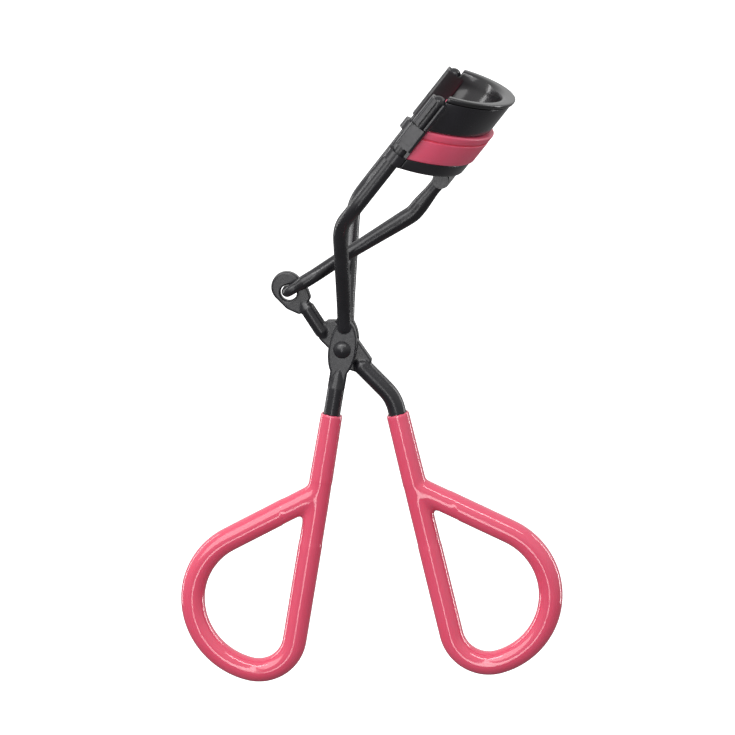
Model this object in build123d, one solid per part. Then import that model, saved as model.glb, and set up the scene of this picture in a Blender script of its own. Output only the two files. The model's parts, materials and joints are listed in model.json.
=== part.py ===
from build123d import *
import os
from math import sin, cos, tan, radians

# Eyelash curler, shown with its jaws closed.  Millimetres.
# Row frame: origin at the middle of the fixed finger loop, +Z up along the
# tool, +X across the handles towards the moving one, Y along the main pivot.
# Everything is drawn about the main pivot and moved into the row frame at
# the end.

# ---------------- driving dimensions ----------------
# place of the main pivot seen from the middle of the fixed finger loop
PIVOT_X = 15.5
PIVOT_Z = 43.1

# rods
HANDLE_ROD_D = 2.9          # fixed handle
MOVING_ROD_D = 3.1          # moving handle
LEVER_ROD_D = 2.6           # its lever arm
SIDE_ROD_D = 2.5            # the two rods that carry the head
LINK_ROD_D = 2.35           # push link, at both ends
LINK_MID_D = 2.9            # push link, at its bend

# main pivot
BLOCK_T = 1.7               # flattened middle of the moving handle
BLOCK_HALF_L = 5.4          # middle of the block to its farthest corner
BLOCK_HALF_W = 2.3
BLOCK_CORNER_R = 0.5
PLATE_T = 1.4               # flattened plates of the fixed handle and rear rod
PLATE_W = 4.8
PLATE_L = 10.2
REAR_PLATE_W = 5.0
PLATE_NECK_L = 6.8          # pivot to where the front plate has become round rod
REAR_PLATE_L = 9.0
REAR_PLATE_RISE = 0.8       # the rear eye plate sits this much higher
PLATE_GAP = 0.08            # between the block and each plate
BLOCK_REACH_ROOM = 0.9      # beyond the ends of the block as it turns
RIVET_D = 1.9
RIVET_RUNNING_GAP = 0.05
RIVET_HEAD_D = 3.0
RIVET_HEAD_H = 0.8

# handles
FIXED_LEG_ANGLE = 9.2       # legs, from straight down
MOVING_LEG_ANGLE = 13.6
FIXED_LEG_L = 52.1          # pivot to the start of the loop
MOVING_LEG_L = 42.6         # bend to the start of the loop
LEVER_ANGLE = 135.0         # lever arm of the moving handle, from +X
MOVING_BEND_L = 12.1        # pivot to the bend below it
MOVING_BEND_R = 7.0
LOOP_HEEL_R = 6.45           # three tangent arcs of a finger loop
LOOP_BACK_R = 12.6
LOOP_SHOULDER_R = 12.1
LOOP_HEEL_TURN = 94.0
LOOP_BACK_TURN = 76.0
LOOP_SHOULDER_TURN = 62.0

# dipped grips
GRIP_TOP_WALL = 0.42        # thickness of the dip at its top edge
GRIP_D = 4.15
GRIP_TOP_BELOW_PIVOT = 11.25
GRIP_TAPER_L = 16.0

# lever end of the moving handle
LEVER_L = 13.2              # pivot to the middle of the hook hole
EYE_T = 1.5
LEVER_ROD_LEAN = 11.8       # its rod against the line from the pivot to the hook hole
LEVER_ROD_CROSS = 7.75      # and where the two cross
EYE_TIP_R = 2.65            # round end
EYE_BACK = 3.7              # hole to the end nearest the pivot
EYE_END_W = 4.2
HOOK_HOLE_D = 2.8

# side rods
RAIL_TILT = 37.5            # from +Z, towards +X
RAIL_CORNER_X = 0.55        # where the rods lean over, seen from the pivot
RAIL_CORNER_Z = 22.9
RAIL_HALF = 13.8            # rod axis to the middle plane, in the head
FORK_FOOT_X = 0.4           # foot of each rod on its plate
FORK_FOOT_Z = 3.9
FORK_ROOT_Z = 7.6
FORK_ROOT_Y = 2.7
FORK_CORNER_Y = 10.6
RAIL_START = 4.4            # along the rail from the lean-over
FORK_BEND_R = 7.0
FORK_CORNER_R = 9.0
RAIL_TOP = 28.85

# head, in the rail frame: u along the rails, n square to them (outwards)
RIM_SLOPE = 22.0            # upper rims and pad, against square
BASE_SLOPE = 19.0           # lower edge of the lower jaw
UPPER_RIM_U = 22.3          # edge that meets the pad, on the rod axis
UPPER_H = 6.0               # rim to the underside of the lip
LIP_H = 0.9
LIP_OVERHANG = 0.2
LIP_INNER = 0.5             # the rolled lip reaches in past the liner by this
BOW_START_N = 0.6           # where the bow of the jaws starts
UPPER_BOW_N = 10.25         # outer face of the upper band at the middle
BAND_T = 0.8
GUARD_T = 0.6
SLEEVE_WALL = 0.28          # sleeves and slide blocks, at the middle of a flat
SLEEVE_CORNER_R = 0.5
SLEEVE_BOTTOM = 22.8
SLEEVE_TOP = 28.1
SLOT_W = 1.2
SLIDE_CLEAR = 0.03          # radial, slide blocks and eyelets on the rods
JAW_GAP = 0.12              # between the closed jaws
BLOCK_U0 = 18.2
BLOCK_U1 = 22.6
PANEL_INSET = 0.1
EYELET_U0 = 15.0
EYELET_U1 = 16.9
EYELET_WALL = 0.7

# lower jaw
LOWER_BOW_N = 10.85         # outer face of the channel at the middle
CHANNEL_W = 3.4
CHANNEL_WALL = 0.65
PAD_H = 6.0                 # silicone above the channel walls
PAD_PROUD = 0.3
PAD_ROOT_H = 1.6
PAD_ROOM = 0.05
CHANNEL_BASE_U = 14.2

# push link
LINK_BEND_X = 11.9
LINK_BEND_Z = 23.4
LINK_BEND_R = 4.0
LINK_TOP_X = 16.77
LINK_TOP_Z = 29.6
HOOK_D = 1.8
HOOK_BEND_R = 1.3
HOOK_OFF_X = -0.26          # hook from the middle of its hole, jaws closed
HOOK_OFF_Z = 0.24
HOOK_GAP = 0.15             # link to the face of the eye
HOOK_PROUD = 0.9
LINK_EYE_D = 2.9            # boss at the top of the link
LINK_EYE_L = 2.6
CROSS_PIN_D = 1.5
CROSS_PIN_HEAD_D = 2.6
CROSS_PIN_HEAD_H = 0.5
PIN_RUNNING_GAP = 0.05
BRACKET_T = 0.7             # ears that hold the cross pin under the lower jaw
BRACKET_R = 1.5
BRACKET_SIDE_GAP = 0.15
BRACKET_BASE_T = 0.4

# ---------------- shared helpers ----------------
PLATE_Y = BLOCK_T / 2 + PLATE_GAP + PLATE_T / 2
SLEEVE_W = SIDE_ROD_D + 2 * SLEEVE_WALL
EYELET_D = SIDE_ROD_D + 2 * EYELET_WALL
ROW = Pos(PIVOT_X, 0, PIVOT_Z)


def polar(length, degrees_from_x, y=0.0):
    a = radians(degrees_from_x)
    return Vector(length * cos(a), y, length * sin(a))


def rod(points, radii, d):
    path = FilletPolyline(*points, radius=radii)
    return sweep(Plane(origin=path @ 0, z_dir=path % 0) * Circle(d / 2), path=path)


def bar(a, b, d, d_end=None):
    a, b = Vector(a), Vector(b)
    plane = Plane(origin=a, z_dir=b - a)
    h = (b - a).length
    if d_end is None:
        return plane * Cylinder(d / 2, h, align=(Align.CENTER, Align.CENTER, Align.MIN))
    return plane * Cone(d / 2, d_end / 2, h, align=(Align.CENTER, Align.CENTER, Align.MIN))


def along_y(x, z, y0, y1, d):
    return bar((x, y0, z), (x, y1, z), d)


def slab(sketch, y0, y1):
    """A sketch drawn in X and Z, made solid from y0 up to y1."""
    return extrude(Plane.XZ.offset(-y1) * sketch, amount=y1 - y0)


# ---------------- finger loops ----------------
def loop_path(start, leg_angle, side):
    """Heel, back and shoulder arcs and the straight run to the leg's axis."""
    down = Vector(side * sin(radians(leg_angle)), -cos(radians(leg_angle)), 0)
    heel = JernArc(start=start, tangent=down, radius=LOOP_HEEL_R,
                   arc_size=side * LOOP_HEEL_TURN)
    back = JernArc(start=heel @ 1, tangent=heel % 1, radius=LOOP_BACK_R,
                   arc_size=side * LOOP_BACK_TURN)
    shoulder = JernArc(start=back @ 1, tangent=back % 1, radius=LOOP_SHOULDER_R,
                       arc_size=side * LOOP_SHOULDER_TURN)
    end, heading = shoulder @ 1, shoulder % 1
    across = Vector(-down.Y, down.X, 0)
    run = (start - end).dot(across) / heading.dot(across)
    straight = Line(end, end + heading * run)
    return Wire([heel.edge(), back.edge(), shoulder.edge(), straight.edge()])


def loop_rod(start, leg_angle, side, y, d):
    path = Pos(0, y, 0) * Rot(90, 0, 0) * loop_path(Vector(start.X, start.Z, 0), leg_angle, side)
    return sweep(Plane(origin=path @ 0, z_dir=path % 0) * Circle(d / 2), path=path)


fixed_down = polar(1, -90 - FIXED_LEG_ANGLE)
moving_down = polar(1, -90 + MOVING_LEG_ANGLE)
fixed_start = fixed_down * FIXED_LEG_L
moving_bend = polar(MOVING_BEND_L, LEVER_ANGLE - 180)
moving_start = moving_bend + moving_down * MOVING_LEG_L


def dipped_grip(top, start, leg_angle, side, y, rod_d):
    """Dipped sleeve over the leg and loop, hollow for the rod inside."""
    off = Vector(0, y, 0)
    taper_end = top + (start - top).normalized() * GRIP_TAPER_L
    skin = bar(top + off, taper_end + off, rod_d + 2 * GRIP_TOP_WALL, GRIP_D)
    skin += bar(taper_end + off, start + off, GRIP_D)
    skin += loop_rod(start, leg_angle, side, y, GRIP_D)
    core = bar(top + off - (start - top).normalized(), start + off, rod_d)
    core += loop_rod(start, leg_angle, side, y, rod_d)
    return skin - core


def on_leg(start, down, z):
    return start + down * ((z - start.Z) / down.Z)


fixed_grip_top = on_leg(fixed_start, fixed_down, -GRIP_TOP_BELOW_PIVOT)
moving_grip_top = on_leg(moving_start, moving_down, -GRIP_TOP_BELOW_PIVOT)
fixed_handle_grip = dipped_grip(fixed_grip_top, fixed_start, FIXED_LEG_ANGLE, -1, -PLATE_Y,
                                HANDLE_ROD_D)
moving_handle_grip = dipped_grip(moving_grip_top, moving_start, MOVING_LEG_ANGLE, 1, 0,
                                 MOVING_ROD_D)

# ---------------- head frame ----------------
HEAD = Plane(origin=(RAIL_CORNER_X, 0, RAIL_CORNER_Z),
             x_dir=(cos(radians(RAIL_TILT)), 0, -sin(radians(RAIL_TILT))),
             z_dir=(sin(radians(RAIL_TILT)), 0, cos(radians(RAIL_TILT))))


def in_head(n, y, u):
    return HEAD.from_local_coords(Vector(n, y, u))


# ---------------- side rods ----------------
def side_rod(side):
    foot = Vector(FORK_FOOT_X, side * PLATE_Y, FORK_FOOT_Z)
    points = [foot,
              (FORK_FOOT_X, side * FORK_ROOT_Y, FORK_ROOT_Z),
              (RAIL_CORNER_X, side * FORK_CORNER_Y, RAIL_CORNER_Z),
              in_head(0, side * RAIL_HALF, RAIL_START),
              in_head(0, side * RAIL_HALF, RAIL_TOP - SIDE_ROD_D / 2)]
    body = rod(points, [FORK_BEND_R, FORK_CORNER_R, FORK_BEND_R], SIDE_ROD_D)
    body += Pos(*foot) * Sphere(SIDE_ROD_D / 2)
    tip = HEAD.location * Pos(0, side * RAIL_HALF, RAIL_TOP - SIDE_ROD_D / 2) * Sphere(SIDE_ROD_D / 2)
    return body + tip


rivet_hole = along_y(0, 0, -3, 3, RIVET_D)
# the rods are pressed flat where the moving block turns past them
block_reach = BLOCK_HALF_L + BLOCK_REACH_ROOM
block_room = along_y(0, 0, -BLOCK_T / 2 - PLATE_GAP, BLOCK_T / 2 + PLATE_GAP, 2 * block_reach)
# the front plate lies along its leg, and its neck thickens to the round rod
front_outline = Ellipse(PLATE_W / 2, PLATE_L / 2)
front_outline += Pos(0, -PLATE_NECK_L / 2) * Rectangle(HANDLE_ROD_D, PLATE_NECK_L)
front_plate = slab(Rot(0, 0, -FIXED_LEG_ANGLE) * front_outline,
                   -PLATE_Y - PLATE_T / 2, -PLATE_Y + PLATE_T / 2)
rear_plate = slab(Pos(0, REAR_PLATE_RISE) * Ellipse(REAR_PLATE_W / 2, REAR_PLATE_L / 2),
                  PLATE_Y - PLATE_T / 2, PLATE_Y + PLATE_T / 2)

front_off = Vector(0, -PLATE_Y, 0)
neck_top = fixed_down * (PLATE_NECK_L - 3.6) + front_off
neck_end = fixed_down * PLATE_NECK_L + front_off
fixed_handle = (front_plate + side_rod(-1)
                + bar(neck_top, neck_end, PLATE_T - 0.1, HANDLE_ROD_D)
                + bar(neck_end, fixed_start + front_off, HANDLE_ROD_D)
                + loop_rod(fixed_start, FIXED_LEG_ANGLE, -1, -PLATE_Y, HANDLE_ROD_D))
fixed_handle = fixed_handle - block_room - rivet_hole
rear_side_rod = (rear_plate + side_rod(1)) - block_room - rivet_hole

# ---------------- rivet ----------------
head_face = PLATE_Y + PLATE_T / 2
pivot_rivet = along_y(0, 0, -head_face, head_face, RIVET_D)
for s in (-1, 1):
    dome_r = ((RIVET_HEAD_D / 2) ** 2 + RIVET_HEAD_H ** 2) / (2 * RIVET_HEAD_H)
    dome = Pos(0, s * (head_face + RIVET_HEAD_H - dome_r), 0) * Sphere(dome_r)
    keep = along_y(0, 0, s * head_face, s * (head_face + 2), RIVET_HEAD_D + 1)
    pivot_rivet += dome & keep

# ---------------- moving handle ----------------
def in_lever(along, across):
    """Point in the handle's plane: along the lever from the pivot, and square to it."""
    return polar(along, LEVER_ANGLE) + polar(across, LEVER_ANGLE - 90)


hl, hw = BLOCK_HALF_L, BLOCK_HALF_W
block_corners = [(hl - 0.6, 0.9), (hl - 1.4, hw - 0.4), (1.4, hw - 0.4), (1.9 - hl, hw - 0.35), (-hl - 0.3, 0.75),
                 (0.4 - hl, 0.3 - hw), (-1.0, -hw - 0.4), (hl - 1.1, -hw - 0.1), (hl - 0.1, -1.3)]
block_outline = Polygon(*block_corners, align=None)
block_outline = fillet(block_outline.vertices(), BLOCK_CORNER_R)
block = slab(Rot(0, 0, LEVER_ANGLE) * block_outline, -BLOCK_T / 2, BLOCK_T / 2)

hole_point = polar(LEVER_L, LEVER_ANGLE)
eye_outline = Pos(0.9, -0.42) * Circle(EYE_TIP_R)
eye_outline += Polygon((0.9, EYE_TIP_R - 0.42), (-1.8, EYE_END_W / 2 + 0.12), (-EYE_BACK + 0.1, 1.5),
                       (-EYE_BACK - 0.3, 1.3), (0.4 - EYE_BACK, -2.1), (-2.0, -2.75), (-0.6, -3.05),
                       (0.9, -EYE_TIP_R - 0.42), align=None)
eye = slab(Rot(0, 0, LEVER_ANGLE) * Pos(LEVER_L, 0) * eye_outline, -EYE_T / 2, EYE_T / 2)
# the round rods run out flat where they were pressed into the block and the eye


def on_lever_rod(along):
    """The lever's rod crosses the block's axis at a small angle."""
    return in_lever(along, (along - LEVER_ROD_CROSS) * tan(radians(LEVER_ROD_LEAN)))


lever_foot, lever_full = on_lever_rod(BLOCK_HALF_L - 2.4), on_lever_rod(BLOCK_HALF_L - 1.0)
lever_thins, lever_flat = on_lever_rod(LEVER_L - 4.1), on_lever_rod(LEVER_L - 2.7)
lever_rod = bar(lever_full, lever_thins, LEVER_ROD_D)
lever_rod += bar(lever_foot, lever_full, BLOCK_T - 0.2, LEVER_ROD_D)
lever_rod += bar(lever_thins, lever_flat, LEVER_ROD_D, EYE_T - 0.1)
rod_foot = polar(BLOCK_HALF_L - 2.6, LEVER_ANGLE - 180)
rod_full = polar(BLOCK_HALF_L - 1.2, LEVER_ANGLE - 180)
moving_rod = rod([rod_full, moving_bend, moving_start], [MOVING_BEND_R], MOVING_ROD_D)
moving_rod += bar(rod_foot, rod_full, BLOCK_T - 0.2, MOVING_ROD_D)
moving_handle = block + eye + lever_rod + moving_rod
moving_handle += loop_rod(moving_start, MOVING_LEG_ANGLE, 1, 0, MOVING_ROD_D)
moving_handle -= along_y(0, 0, -3, 3, RIVET_D + 2 * RIVET_RUNNING_GAP)
moving_handle -= along_y(hole_point.X, hole_point.Z, -3, 3, HOOK_HOLE_D)


# ---------------- jaws ----------------
def bow(outer_n, inset, u0, u1):
    """Half-ellipse bow of a jaw: outer_n is its outer face, inset the part drawn inside."""
    along = outer_n - BOW_START_N - inset
    across = RAIL_HALF + 0.2 - inset
    shape = Pos(BOW_START_N, 0) * Ellipse(along, across)
    shape -= Pos(-50 + BOW_START_N, 0) * Rectangle(100, 100)
    return Pos(0, 0, u0) * extrude(shape, amount=u1 - u0)


def tilted(u, slope):
    """Plane through the rod axis at u, climbing outwards by slope degrees."""
    a = radians(slope)
    return Plane(origin=(0, 0, u), x_dir=(cos(a), 0, sin(a)), z_dir=(-sin(a), 0, cos(a)))


def above(part, u, slope):
    return split(part, bisect_by=tilted(u, slope), keep=Keep.TOP)


def below(part, u, slope):
    return split(part, bisect_by=tilted(u, slope), keep=Keep.BOTTOM)


JAW_START_N = SLEEVE_W / 2       # the jaws start on the flat faces of sleeves and blocks
LOW, HIGH = 5.0, 42.0


def outboard(part):
    return part - Pos(JAW_START_N - 50, 0, 20) * Box(100, 100, 100)


def band(outer_n, t, inset, u_low, slope_low, u_high, slope_high):
    part = bow(outer_n, inset, LOW, HIGH) - bow(outer_n, inset + t, LOW, HIGH)
    return outboard(below(above(part, u_low, slope_low), u_high, slope_high))


lip_u = UPPER_RIM_U + UPPER_H
upper_jaw_band = band(UPPER_BOW_N, BAND_T, 0, UPPER_RIM_U, RIM_SLOPE, lip_u, RIM_SLOPE)
guard_wall = band(UPPER_BOW_N, GUARD_T, BAND_T, UPPER_RIM_U + 0.9, RIM_SLOPE, lip_u, RIM_SLOPE)
guard_lip = band(UPPER_BOW_N, LIP_OVERHANG + BAND_T + GUARD_T + LIP_INNER, -LIP_OVERHANG,
                 lip_u, RIM_SLOPE, lip_u + LIP_H, RIM_SLOPE)
upper_jaw_guard = guard_wall + guard_lip

rail_bore = {s: Pos(0, s * RAIL_HALF, 20) * Cylinder(SIDE_ROD_D / 2, 60) for s in (-1, 1)}
slide_bore = {s: Pos(0, s * RAIL_HALF, 20) * Cylinder(SIDE_ROD_D / 2 + SLIDE_CLEAR, 60) for s in (-1, 1)}


def end_sleeve(s):
    h = SLEEVE_TOP - SLEEVE_BOTTOM
    part = Pos(0, s * RAIL_HALF, SLEEVE_BOTTOM + h / 2) * Box(SLEEVE_W, SLEEVE_W, h)
    part = fillet(part.edges().filter_by(Axis.Z), SLEEVE_CORNER_R)
    slot = Pos(0.2, s * (RAIL_HALF + SLEEVE_W / 2), SLEEVE_BOTTOM + h / 2) * Box(SLOT_W, SLEEVE_W, h + 1)
    return part - rail_bore[s] - slot


def slide_block(s):
    h = BLOCK_U1 - BLOCK_U0
    part = Pos(0, s * RAIL_HALF, BLOCK_U0 + h / 2) * Box(SLEEVE_W, SLEEVE_W, h)
    part = fillet(part.edges().filter_by(Axis.Z), SLEEVE_CORNER_R)
    inset = Pos(-0.2, s * (RAIL_HALF + SLEEVE_W / 2), BLOCK_U0 + h / 2 + 0.3) * Box(
        SLEEVE_W - 1.0, 2 * PANEL_INSET, h - 1.2)
    return part - slide_bore[s] - inset


def eyelet(s):
    h = EYELET_U1 - EYELET_U0
    ring = Pos(0, s * RAIL_HALF, EYELET_U0 + h / 2) * Cylinder(EYELET_D / 2, h)
    tail = Pos(SLEEVE_W / 2 - 0.2, s * RAIL_HALF, (EYELET_U0 + BLOCK_U0) / 2) * Box(
        0.7, 1.8, BLOCK_U0 - EYELET_U0)
    inboard = Pos(JAW_START_N - 5, s * RAIL_HALF, EYELET_U0) * Box(10, 10, 10)
    return ((ring + tail) & inboard) - slide_bore[s]


pad_top = UPPER_RIM_U - JAW_GAP
wall_top = pad_top - PAD_H
floor_top = wall_top - PAD_ROOT_H
channel_outer = band(LOWER_BOW_N, CHANNEL_W, 0, CHANNEL_BASE_U, BASE_SLOPE, wall_top, RIM_SLOPE)
channel_room = band(LOWER_BOW_N, CHANNEL_W - 2 * CHANNEL_WALL, CHANNEL_WALL,
                    floor_top, RIM_SLOPE, HIGH - 10, RIM_SLOPE)
lower_jaw_channel = channel_outer - channel_room
pad_root = band(LOWER_BOW_N, CHANNEL_W - 2 * CHANNEL_WALL - 2 * PAD_ROOM, CHANNEL_WALL + PAD_ROOM,
                floor_top, RIM_SLOPE, wall_top, RIM_SLOPE)
pad_head = band(LOWER_BOW_N, CHANNEL_W + 2 * PAD_PROUD, -PAD_PROUD,
                wall_top, RIM_SLOPE, pad_top, RIM_SLOPE)
lash_pad = pad_head + pad_root

# ---------------- push link ----------------
hook_y = -(EYE_T / 2 + HOOK_GAP + LINK_ROD_D / 2)
hook_point = hole_point + Vector(HOOK_OFF_X, 0, HOOK_OFF_Z)
link_bend = Vector(LINK_BEND_X, 0, LINK_BEND_Z)
link_top = Vector(LINK_TOP_X, 0, LINK_TOP_Z)
run = (link_bend - hook_point).normalized()
rise = (link_top - link_bend).normalized()
hook_front = hook_point + Vector(0, hook_y, 0)
neck_start, neck_full = hook_front + run * 2.0, hook_front + run * 3.6
clear_of_eye = hook_front + run * 6.0
on_centre = hook_point + run * 12.0
swell_start = hook_point + run * 14.0
bend_in, bend_out = link_bend - run * 2.0, link_bend + rise * 2.0
thin_again = link_bend + rise * 5.0
push_link = rod([hook_point + Vector(0, EYE_T / 2 + HOOK_PROUD, 0), hook_front, neck_start],
                [HOOK_BEND_R], HOOK_D)
push_link += bar(neck_start, neck_full, HOOK_D, LINK_ROD_D)
push_link += rod([neck_full, clear_of_eye, on_centre, swell_start], [4.0, 4.0], LINK_ROD_D)
push_link += bar(swell_start, bend_in, LINK_ROD_D, LINK_MID_D)
push_link += rod([bend_in, link_bend, bend_out], [LINK_BEND_R], LINK_MID_D)
push_link += bar(bend_out, thin_again, LINK_MID_D, LINK_ROD_D)
push_link += bar(thin_again, link_top, LINK_ROD_D)
push_link += along_y(LINK_TOP_X, LINK_TOP_Z, -LINK_EYE_L / 2, LINK_EYE_L / 2, LINK_EYE_D)
push_link -= along_y(LINK_TOP_X, LINK_TOP_Z, -5, 5, CROSS_PIN_D)

# ---------------- cross pin and its bracket under the lower jaw ----------------
ear_in = LINK_EYE_L / 2 + BRACKET_SIDE_GAP
ear_out = ear_in + BRACKET_T
pin_face = ear_out + PIN_RUNNING_GAP
link_cross_pin = along_y(LINK_TOP_X, LINK_TOP_Z, -pin_face, pin_face, CROSS_PIN_D)
for s in (-1, 1):
    link_cross_pin += along_y(LINK_TOP_X, LINK_TOP_Z, s * pin_face,
                              s * (pin_face + CROSS_PIN_HEAD_H), CROSS_PIN_HEAD_D)

pin_at = HEAD.to_local_coords(link_top)
bracket_ear = Rot(90, 0, 0) * extrude(Circle(BRACKET_R) + Pos(0, 3) * Rectangle(2 * BRACKET_R, 6),
                                      amount=BRACKET_T / 2, both=True)
link_bracket = Pos(pin_at.X, -(ear_in + ear_out) / 2, pin_at.Z) * bracket_ear
link_bracket += Pos(pin_at.X, (ear_in + ear_out) / 2, pin_at.Z) * bracket_ear
bracket_base = Pos(pin_at.X, 0, pin_at.Z + 3) * Box(2 * BRACKET_R, 2 * ear_out, 6)
link_bracket += above(bracket_base, CHANNEL_BASE_U - BRACKET_BASE_T, BASE_SLOPE)
link_bracket = below(link_bracket, CHANNEL_BASE_U, BASE_SLOPE)
link_bracket -= Pos(pin_at.X, 0, pin_at.Z) * Rot(90, 0, 0) * Cylinder(
    CROSS_PIN_D / 2 + PIN_RUNNING_GAP, 20)

parts = {
    "fixed_handle": fixed_handle,
    "fixed_handle_grip": fixed_handle_grip,
    "rear_side_rod": rear_side_rod,
    "pivot_rivet": pivot_rivet,
    "moving_handle": moving_handle,
    "moving_handle_grip": moving_handle_grip,
    "push_link": push_link,
    "link_cross_pin": link_cross_pin,
    "upper_jaw_band": HEAD.location * upper_jaw_band,
    "upper_jaw_guard": HEAD.location * upper_jaw_guard,
    "near_end_sleeve": HEAD.location * end_sleeve(-1),
    "far_end_sleeve": HEAD.location * end_sleeve(1),
    "lower_jaw_channel": HEAD.location * lower_jaw_channel,
    "link_bracket": HEAD.location * link_bracket,
    "lash_pad": HEAD.location * lash_pad,
    "near_slide_block": HEAD.location * slide_block(-1),
    "far_slide_block": HEAD.location * slide_block(1),
    "near_guide_eyelet": HEAD.location * eyelet(-1),
    "far_guide_eyelet": HEAD.location * eyelet(1),
}

os.makedirs("parts", exist_ok=True)
for name, part in parts.items():
    export_step(ROW * part, f"parts/{name}.step")
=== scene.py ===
"""Looks of the eyelash curler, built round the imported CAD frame."""
import json
from math import acos, cos, radians, sin, tan

import bmesh
import bpy
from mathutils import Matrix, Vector


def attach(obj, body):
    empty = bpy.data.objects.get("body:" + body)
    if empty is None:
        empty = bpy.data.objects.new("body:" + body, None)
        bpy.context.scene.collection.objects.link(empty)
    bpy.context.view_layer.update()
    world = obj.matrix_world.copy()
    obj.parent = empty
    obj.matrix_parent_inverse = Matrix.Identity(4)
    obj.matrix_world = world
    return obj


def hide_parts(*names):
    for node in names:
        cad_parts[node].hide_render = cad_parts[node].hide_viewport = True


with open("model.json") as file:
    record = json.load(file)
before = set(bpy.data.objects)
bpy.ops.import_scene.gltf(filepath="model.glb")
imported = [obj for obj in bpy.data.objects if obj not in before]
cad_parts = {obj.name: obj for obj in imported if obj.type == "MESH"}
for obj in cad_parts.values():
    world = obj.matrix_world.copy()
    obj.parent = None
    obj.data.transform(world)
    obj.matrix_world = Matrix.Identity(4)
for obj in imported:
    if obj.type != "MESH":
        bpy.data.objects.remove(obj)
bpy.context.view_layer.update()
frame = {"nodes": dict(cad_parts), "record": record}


# ---------------------------------------------------------------- camera
CAMERA_AZIMUTH = 6.2
CAMERA_ELEVATION = 12.6
CAMERA_DISTANCE = 1.0
CAMERA_AIM = Vector((0.019588, 0.0, 0.039631))
VIEW_WIDTH = 0.12495        # metres across the frame at the aim point
SENSOR = 36.0
FLOOR_Z = -0.09


def direction(azimuth, elevation):
    a, e = radians(azimuth), radians(elevation)
    return (sin(a) * cos(e), -cos(a) * cos(e), sin(e))


def add_camera():
    away = Vector(direction(CAMERA_AZIMUTH, CAMERA_ELEVATION))
    data = bpy.data.cameras.new("camera")
    data.sensor_width = SENSOR
    data.lens = SENSOR * CAMERA_DISTANCE / VIEW_WIDTH
    data.clip_start = 0.01
    data.clip_end = 50.0
    camera = bpy.data.objects.new("camera", data)
    camera.location = CAMERA_AIM + away * CAMERA_DISTANCE
    camera.rotation_euler = (-away).to_track_quat("-Z", "Y").to_euler()
    bpy.context.collection.objects.link(camera)
    bpy.context.scene.camera = camera


# ---------------------------------------------------------------- nodes
class Nodes:
    """Short way to build a node material."""

    def __init__(self, name):
        self.material = bpy.data.materials.new(name)
        self.material.use_nodes = True
        self.tree = self.material.node_tree
        self.shader = self.tree.nodes["Principled BSDF"]

    def add(self, kind, **values):
        node = self.tree.nodes.new(kind)
        for key, value in values.items():
            if key in node.inputs:
                node.inputs[key].default_value = value
            else:
                setattr(node, key, value)
        return node

    def link(self, a, a_out, b, b_in):
        self.tree.links.new(a.outputs[a_out], b.inputs[b_in])

    def noise(self, scale, detail=2.0, roughness=0.5):
        where = self.add("ShaderNodeTexCoord")
        noise = self.add("ShaderNodeTexNoise", Scale=scale, Detail=detail, Roughness=roughness)
        self.link(where, "Object", noise, "Vector")
        return noise

    def ramp(self, source, out, stops):
        ramp = self.add("ShaderNodeValToRGB")
        elements = ramp.color_ramp.elements
        while len(elements) < len(stops):
            elements.new(0.5)
        for element, (place, colour) in zip(elements, stops):
            element.position = place
            element.color = colour
        self.link(source, out, ramp, "Fac")
        return ramp

    def bump(self, source, out, strength, distance):
        bump = self.add("ShaderNodeBump", Strength=strength, Distance=distance)
        self.link(source, out, bump, "Height")
        self.link(bump, "Normal", self.shader, "Normal")

    def set(self, **values):
        for key, value in values.items():
            self.shader.inputs[key.replace("_", " ")].default_value = value


def grey(v):
    return (v, v, v, 1.0)


def lacquer(name, dark, light, rough_low, rough_high):
    """Black enamel on metal: slight orange peel, faint cloudiness, small specks."""
    n = Nodes(name)
    cloud = n.noise(260.0, 3.0)
    tone = n.ramp(cloud, "Fac", [(0.35, dark), (0.7, light)])
    n.link(tone, "Color", n.shader, "Base Color")
    grain = n.noise(2400.0, 4.0, 0.6)
    rough = n.ramp(grain, "Fac", [(0.3, grey(rough_low)), (0.75, grey(rough_high))])
    n.link(rough, "Color", n.shader, "Roughness")
    peel = n.noise(900.0, 2.0)
    n.bump(peel, "Fac", 0.04, 0.00005)
    n.set(Specular_IOR_Level=0.5)
    return n.material


def dipped_vinyl(name):
    """Pink vinyl dip: glossy, softly uneven, a little light passes in."""
    n = Nodes(name)
    cloud = n.noise(90.0, 3.0)
    tone = n.ramp(cloud, "Fac", [(0.3, (0.84, 0.085, 0.165, 1)), (0.7, (0.88, 0.10, 0.185, 1))])
    n.link(tone, "Color", n.shader, "Base Color")
    fine = n.noise(900.0, 2.0)
    rough = n.ramp(fine, "Fac", [(0.3, grey(0.09)), (0.7, grey(0.13))])
    n.link(rough, "Color", n.shader, "Roughness")
    wave = n.noise(140.0, 2.0)
    n.bump(wave, "Fac", 0.025, 0.0003)
    n.set(Specular_IOR_Level=0.5, Subsurface_Weight=0.15, Subsurface_Scale=0.002,
          Coat_Weight=0.5, Coat_Roughness=0.07)
    n.shader.inputs["Subsurface Radius"].default_value = (1.0, 0.35, 0.3)
    return n.material


def silicone(name):
    """Pink silicone: satin, with a little light passing in."""
    n = Nodes(name)
    cloud = n.noise(160.0, 3.0)
    tone = n.ramp(cloud, "Fac", [(0.3, (0.84, 0.105, 0.19, 1)), (0.7, (0.90, 0.13, 0.225, 1))])
    n.link(tone, "Color", n.shader, "Base Color")
    fine = n.noise(1800.0, 3.0)
    rough = n.ramp(fine, "Fac", [(0.3, grey(0.38)), (0.7, grey(0.48))])
    n.link(rough, "Color", n.shader, "Roughness")
    n.bump(fine, "Fac", 0.08, 0.00005)
    n.set(Specular_IOR_Level=0.4, Subsurface_Weight=0.2, Subsurface_Scale=0.0015)
    n.shader.inputs["Subsurface Radius"].default_value = (1.0, 0.3, 0.28)
    return n.material


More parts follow.
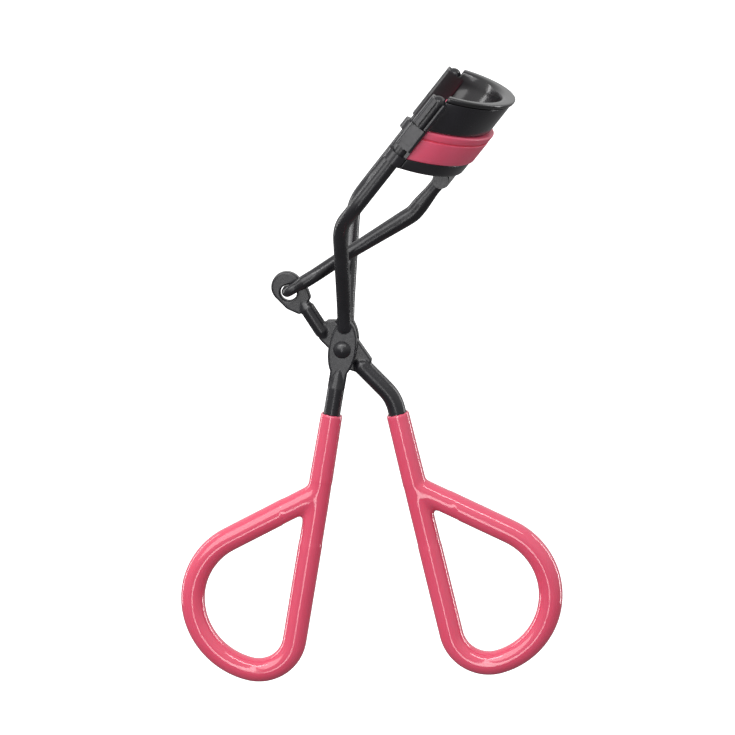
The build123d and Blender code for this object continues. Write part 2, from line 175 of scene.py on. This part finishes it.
MATERIALS = {
    "rod_metal": lacquer("rod_lacquer", (0.0095, 0.009, 0.0115, 1),
                         (0.0155, 0.015, 0.019, 1), 0.24, 0.34),
    "jaw_metal": lacquer("jaw_lacquer", (0.014, 0.013, 0.0165, 1),
                         (0.0195, 0.0185, 0.023, 1), 0.20, 0.28),
    "guard_plastic": lacquer("guard_gloss", grey(0.014), (0.018, 0.017, 0.020, 1), 0.15, 0.22),
    "grip_dip": dipped_vinyl("grip_vinyl"),
    "pad_silicone": silicone("pad_silicone"),
}


def dress_cad_nodes():
    slots = {s["node"]: s["material_slot"] for s in frame["record"]["subparts"]}
    for name, obj in frame["nodes"].items():
        obj.data.materials.clear()
        obj.data.materials.append(MATERIALS[slots[name]])


# ---------------------------------------------------------------- shaped pieces
MM = 0.001
PIVOT = Vector((15.5, 0.0, 43.1)) * MM
HEAD_ORIGIN = PIVOT + Vector((0.55, 0.0, 22.9)) * MM
RAIL_TILT = radians(37.5)
OUT = Vector((cos(RAIL_TILT), 0.0, -sin(RAIL_TILT)))      # square to the side rods
UP = Vector((sin(RAIL_TILT), 0.0, cos(RAIL_TILT)))        # along the side rods
RIM_TILT = tan(radians(22.0))
BASE_TILT = tan(radians(19.0))
# lengths in the head: n outwards from the rods, u along them, both in mm
BOW_START = 0.6             # n where the half-ellipse of a bow starts
BOW_SIDE = 14.0             # half width of a bow's outer face
JAW_END = 1.56              # the lower jaw ends beside the slide blocks
GUARD_END = 0.9             # the guard runs on into the sleeves' flanks
UPPER_RIM = 22.3            # u at the rods
LIP_UNDER = 28.3
LIP_TOP = LIP_UNDER + 0.90
LINER_LOW = UPPER_RIM + 0.92
BAND_TOP = LIP_UNDER - 0.22
PAD_TOP = 22.18
PAD_RIDGE = PAD_TOP + 1.25  # the pad's inner ridge, inside the upper jaw
PAD_STEP = PAD_TOP - 1.75   # the step below the pad's bead
WALL_TOP = 16.18            # the lower channel's walls
PAD_LOW = WALL_TOP + 0.04
FLOOR_TOP = 14.58
ROOT_LOW = FLOOR_TOP + 0.05
BASE_U = 14.2
UPPER_BOW = 10.25           # n of the bows' outer faces at the middle
LOWER_BOW = 10.85
BOW_STEPS = 96


def new_object(name, mesh):
    obj = bpy.data.objects.new(name, mesh)
    bpy.context.collection.objects.link(obj)
    return obj


def mesh_object(name, bm):
    """New object from a bmesh, which is freed."""
    mesh = bpy.data.meshes.new(name)
    bm.to_mesh(mesh)
    bm.free()
    return new_object(name, mesh)


def dress(obj, slot_name, body, *nodes):
    """Material, body and the CAD nodes that a shaped piece stands for."""
    obj.data.materials.clear()
    obj.data.materials.append(MATERIALS[slot_name])
    for face in obj.data.polygons:
        face.use_smooth = True
    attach(obj, body)
    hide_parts(*nodes)


def bow_loft(name, outer, section, end_n=JAW_END):
    """Closed section swept round a jaw's half-ellipse bow.

    A section point is (inset, u at the rods, tilt): inset is measured inwards
    from the bow's outer face, and u climbs outwards with the tilt.
    """
    bm = bmesh.new()
    rings = []
    for step in range(BOW_STEPS + 1):
        t = 2.0 * step / BOW_STEPS - 1.0
        ring = []
        for inset, u, tilt in section:
            along = outer - BOW_START - inset
            widest = acos((end_n - BOW_START) / along)
            angle = t * widest
            n = BOW_START + along * cos(angle)
            y = (BOW_SIDE - inset) * sin(angle)
            place = HEAD_ORIGIN + (OUT * n + UP * (u + n * tilt)) * MM
            ring.append(bm.verts.new((place.x, y * MM, place.z)))
        rings.append(ring)
    count = len(section)
    for a, b in zip(rings, rings[1:]):
        for i in range(count):
            j = (i + 1) % count
            bm.faces.new((a[i], a[j], b[j], b[i]))
    for ring in (rings[0], rings[-1]):
        bm.faces.new(ring)
    bmesh.ops.recalc_face_normals(bm, faces=bm.faces)
    return mesh_object(name, bm)


def rounded(corners, arc_steps=5):
    """Closed section with each corner (inset, u, tilt, radius) rounded."""
    points = []
    count = len(corners)
    for i, (x, u, tilt, radius) in enumerate(corners):
        here = Vector((x, u))
        before = Vector(corners[i - 1][:2]) - here
        after = Vector(corners[(i + 1) % count][:2]) - here
        reach_in = min(radius, 0.45 * before.length)
        reach_out = min(radius, 0.45 * after.length)
        a = here + before.normalized() * reach_in
        b = here + after.normalized() * reach_out
        for k in range(arc_steps + 1):
            f = k / arc_steps
            p = a * (1 - f) ** 2 + here * 2 * f * (1 - f) + b * f ** 2
            points.append((p.x, p.y, tilt))
    return points


def jaw_pieces():
    """Guard, band, channel and pad: corners are (inset, u, tilt, radius)."""
    rim, base = RIM_TILT, BASE_TILT
    guard = bow_loft("jaw_guard", UPPER_BOW, rounded([
        (-0.20, LIP_UNDER + 0.02, rim, 0.30), (-0.20, LIP_TOP, rim, 0.55),
        (1.90, LIP_TOP, rim, 1.00), (1.86, LIP_UNDER - 0.60, rim, 1.2),
        (1.40, LIP_UNDER - 2.00, rim, 1.0), (1.40, LINER_LOW, rim, 0.28),
        (0.86, LINER_LOW, rim, 0.28), (0.86, LIP_UNDER - 0.16, rim, 0.10),
        (0.16, LIP_UNDER - 0.16, rim, 0.10), (0.14, LIP_UNDER + 0.02, rim, 0.05)]),
        GUARD_END)
    dress(guard, "guard_plastic", "frame", "upper_jaw_guard")
    band = bow_loft("jaw_band", UPPER_BOW, rounded([
        (0.0, UPPER_RIM, rim, 0.22), (0.0, BAND_TOP, rim, 0.14),
        (0.82, BAND_TOP, rim, 0.10), (0.82, UPPER_RIM, rim, 0.22)]), GUARD_END)
    dress(band, "jaw_metal", "frame", "upper_jaw_band")
    channel = bow_loft("jaw_channel", LOWER_BOW, rounded([
        (0.0, BASE_U, base, 0.55), (0.0, WALL_TOP, rim, 0.20),
        (0.65, WALL_TOP, rim, 0.20), (0.65, FLOOR_TOP, rim, 0.1),
        (2.75, FLOOR_TOP, rim, 0.1), (2.75, WALL_TOP, rim, 0.20),
        (3.4, WALL_TOP, rim, 0.20), (3.4, BASE_U, base, 0.55)]))
    dress(channel, "jaw_metal", "lower_jaw", "lower_jaw_channel")
    pad = bow_loft("pad", LOWER_BOW, rounded([
        (-0.28, PAD_LOW, rim, 0.35), (-0.30, PAD_STEP - 0.05, rim, 0.15),
        (0.10, PAD_STEP + 0.02, rim, 0.05), (0.10, PAD_STEP + 0.16, rim, 0.05),
        (-0.26, PAD_STEP + 0.30, rim, 0.15),
        (-0.28, PAD_TOP - 0.06, rim, 0.45), (2.05, PAD_TOP, rim, 0.15),
        (2.30, PAD_RIDGE, rim, 0.35), (3.55, PAD_RIDGE - 0.10, rim, 0.60),
        (3.70, PAD_LOW, rim, 0.35), (2.68, PAD_LOW, rim, 0.1),
        (2.68, ROOT_LOW, rim, 0.2), (0.72, ROOT_LOW, rim, 0.2),
        (0.72, PAD_LOW, rim, 0.1)]))
    dress(pad, "pad_silicone", "lower_jaw", "lash_pad")


VOXEL_ROD = 0.13 * MM
VOXEL_GRIP = 0.24 * MM
ROD_PASSES = 4
GRIP_PASSES = 3
JOIN_REACH = 6.0 * MM       # the dip fills the corner where a loop meets its leg
JOIN_PASSES = 24
WELD = 0.002 * MM           # closes the seams between a CAD mesh's faces
GRIP_TOP_Z = PIVOT.z - 11.25 * MM
HIDDEN_Z = GRIP_TOP_Z - 3.0 * MM       # the wires go on unseen inside the grips


def smooth(bm, verts, passes):
    for _ in range(passes):
        bmesh.ops.smooth_vert(bm, verts=verts, factor=0.5, use_axis_x=True,
                              use_axis_y=True, use_axis_z=True)


def softened(name, node, voxel, passes, cut=False, join=None):
    """Copy of a CAD node, its edges blended as forming and dipping leave them.

    cut leaves out what is hidden in a grip, and join is a point round which
    the copy is smoothed more.
    """
    source = frame["nodes"][node]
    bm = bmesh.new()
    bm.from_mesh(source.data)
    bmesh.ops.remove_doubles(bm, verts=bm.verts, dist=WELD)
    if cut:
        whole = bm.verts[:] + bm.edges[:] + bm.faces[:]
        cutting = bmesh.ops.bisect_plane(bm, geom=whole, plane_co=(0, 0, HIDDEN_Z),
                                         plane_no=(0, 0, 1), clear_inner=True)
        rim = [e for e in cutting["geom_cut"] if isinstance(e, bmesh.types.BMEdge)]
        bmesh.ops.holes_fill(bm, edges=rim, sides=0)
    bmesh.ops.triangulate(bm, faces=bm.faces)
    obj = mesh_object(name, bm)
    mesh = obj.data
    remesh = obj.modifiers.new("remesh", "REMESH")
    remesh.mode = "VOXEL"
    remesh.voxel_size = voxel
    graph = bpy.context.evaluated_depsgraph_get()
    made = bpy.data.meshes.new_from_object(obj.evaluated_get(graph))
    obj.modifiers.clear()
    obj.data = made
    bpy.data.meshes.remove(mesh)
    bm = bmesh.new()
    bm.from_mesh(made)
    smooth(bm, bm.verts, passes)
    if join:
        near = [v for v in bm.verts if (v.co - join).length < JOIN_REACH]
        smooth(bm, near, JOIN_PASSES)
    bm.to_mesh(made)
    bm.free()
    return obj


WIRES = (                   # piece, CAD node, body, cut where a grip hides it
    ("handle_wire", "fixed_handle", "frame", True),
    ("rear_wire", "rear_side_rod", "frame", False),
    ("lever_wire", "moving_handle", "moving_lever", True),
    ("link_wire", "push_link", "link", False),
)


def rod_pieces():
    for name, node, body, cut in WIRES:
        wire = softened(name, node, VOXEL_ROD, ROD_PASSES, cut=cut)
        dress(wire, "rod_metal", body, node)


LOOP_JOINS = {          # where each loop comes back to its leg
    "fixed_handle_grip": PIVOT + Vector((-4.9, -1.6, -28.6)) * MM,
    "moving_handle_grip": PIVOT + Vector((14.0, 0.0, -28.8)) * MM,
}


def grip_pieces():
    for node, body in (("fixed_handle_grip", "frame"),
                       ("moving_handle_grip", "moving_lever")):
        grip = softened(node.replace("_handle", ""), node, VOXEL_GRIP, GRIP_PASSES,
                        join=LOOP_JOINS[node])
        dress(grip, "grip_dip", body, node)


CHEEK_INNER = 12.0          # faces of a cheek, from the middle plane
CHEEK_OUTER = 12.55
CHEEK_FROM = -1.35          # across the end sleeve's inner face
CHEEK_TO = 1.9
CHEEK_LOW = 23.0
CHEEK_TOP = LIP_UNDER - 0.35
CHEEK_TOP_TILT = 0.2
CHEEK_STEPS = 12
CHEEK_EDGE = 0.10           # its two ends are thinned by this


def cheeks():
    """Ends of the guard, folded back over the inner face of each end sleeve."""
    for side, name in ((-1, "near_cheek"), (1, "far_cheek")):
        bm = bmesh.new()
        rows = []
        for k in range(CHEEK_STEPS + 1):
            n = CHEEK_FROM + (CHEEK_TO - CHEEK_FROM) * k / CHEEK_STEPS
            ring = []
            low = CHEEK_LOW + n * RIM_TILT
            top = CHEEK_TOP + CHEEK_TOP_TILT * n
            thin = CHEEK_EDGE if k in (0, CHEEK_STEPS) else 0.0
            for y, u in ((CHEEK_INNER + thin, low + thin), (CHEEK_INNER + thin, top - thin),
                         (CHEEK_INNER + 0.12, top), (CHEEK_OUTER, top), (CHEEK_OUTER, low)):
                place = HEAD_ORIGIN + (OUT * n + UP * u) * MM
                ring.append(bm.verts.new((place.x, side * y * MM, place.z)))
            rows.append(ring)
        count = len(rows[0])
        for a, b in zip(rows, rows[1:]):
            for i in range(count):
                j = (i + 1) % count
                bm.faces.new((a[i], a[j], b[j], b[i]))
        bm.faces.new(rows[0])
        bm.faces.new(rows[-1])
        bmesh.ops.recalc_face_normals(bm, faces=bm.faces)
        obj = mesh_object(name, bm)
        obj.data.materials.append(MATERIALS["guard_plastic"])
        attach(obj, "frame")


def build_pieces():
    jaw_pieces()
    cheeks()
    rod_pieces()
    grip_pieces()


# ---------------------------------------------------------------- stage
FLOOR_HALF = 6.0
TENT_LOW = (0.30, 0.20)     # place on the height ramp, and grey there
TENT_HIGH = (0.66, 0.88)
LIGHTS = (                  # name, azimuth, elevation, distance, size, watts, gloss only
    ("front_tent", -35, 30, 1.2, (0.9, 0.9), 7.6, False),
    ("key_strip", 2, 50, 0.9, (1.1, 0.13), 4.2, True),
    ("front_strip", -4, 8, 0.9, (0.13, 1.2), 2.4, True),
    ("rim_strip", 118, 8, 0.8, (0.10, 0.9), 2.6, True),
    ("left_strip", -112, 10, 0.8, (0.10, 0.9), 1.8, True),
)


def area_light(name, place, aim, size, power, gloss_only):
    data = bpy.data.lights.new(name, "AREA")
    data.shape = "RECTANGLE"
    data.size, data.size_y = size
    data.energy = power
    light = bpy.data.objects.new(name, data)
    light.location = place
    light.rotation_euler = (Vector(aim) - Vector(place)).to_track_quat("-Z", "Y").to_euler()
    light.visible_diffuse = not gloss_only
    bpy.context.collection.objects.link(light)


def add_stage():
    world = bpy.data.worlds.new("studio")
    bpy.context.scene.world = world
    world.use_nodes = True
    tree = world.node_tree
    output = tree.nodes["World Output"]
    tent = tree.nodes["Background"]
    where = tree.nodes.new("ShaderNodeTexCoord")
    split = tree.nodes.new("ShaderNodeSeparateXYZ")
    height = tree.nodes.new("ShaderNodeMapRange")
    height.inputs["From Min"].default_value = -1.0
    ramp = tree.nodes.new("ShaderNodeValToRGB")
    elements = ramp.color_ramp.elements
    for element, (place, tone) in zip(elements, (TENT_LOW, TENT_HIGH)):
        element.position = place
        element.color = grey(tone)
    tree.links.new(where.outputs["Generated"], split.inputs["Vector"])
    tree.links.new(split.outputs["Z"], height.inputs["Value"])
    tree.links.new(height.outputs["Result"], ramp.inputs["Fac"])
    tree.links.new(ramp.outputs["Color"], tent.inputs["Color"])
    white = tree.nodes.new("ShaderNodeBackground")
    white.inputs["Color"].default_value = grey(1.0)
    seen = tree.nodes.new("ShaderNodeLightPath")
    mix = tree.nodes.new("ShaderNodeMixShader")
    tree.links.new(seen.outputs["Is Camera Ray"], mix.inputs["Fac"])
    tree.links.new(tent.outputs["Background"], mix.inputs[1])
    tree.links.new(white.outputs["Background"], mix.inputs[2])
    tree.links.new(mix.outputs["Shader"], output.inputs["Surface"])

    mesh = bpy.data.meshes.new("floor")
    mesh.from_pydata([(-FLOOR_HALF, -FLOOR_HALF, FLOOR_Z), (FLOOR_HALF, -FLOOR_HALF, FLOOR_Z),
                      (FLOOR_HALF, FLOOR_HALF, FLOOR_Z), (-FLOOR_HALF, FLOOR_HALF, FLOOR_Z)],
                     [], [(0, 1, 2, 3)])
    floor = new_object("floor", mesh)
    n = Nodes("floor_paper")
    n.set(Base_Color=grey(0.85), Roughness=0.9)
    n.set(Emission_Color=grey(1.0), Emission_Strength=0.8)
    mesh.materials.append(n.material)
    floor.visible_glossy = False
    floor.visible_diffuse = False
    floor.visible_shadow = False
    bpy.context.scene.view_settings.view_transform = "Standard"

    for name, azimuth, elevation, distance, size, watts, gloss_only in LIGHTS:
        place = CAMERA_AIM + Vector(direction(azimuth, elevation)) * distance
        area_light(name, place, CAMERA_AIM, size, watts, gloss_only)


add_camera()
dress_cad_nodes()
build_pieces()
add_stage()
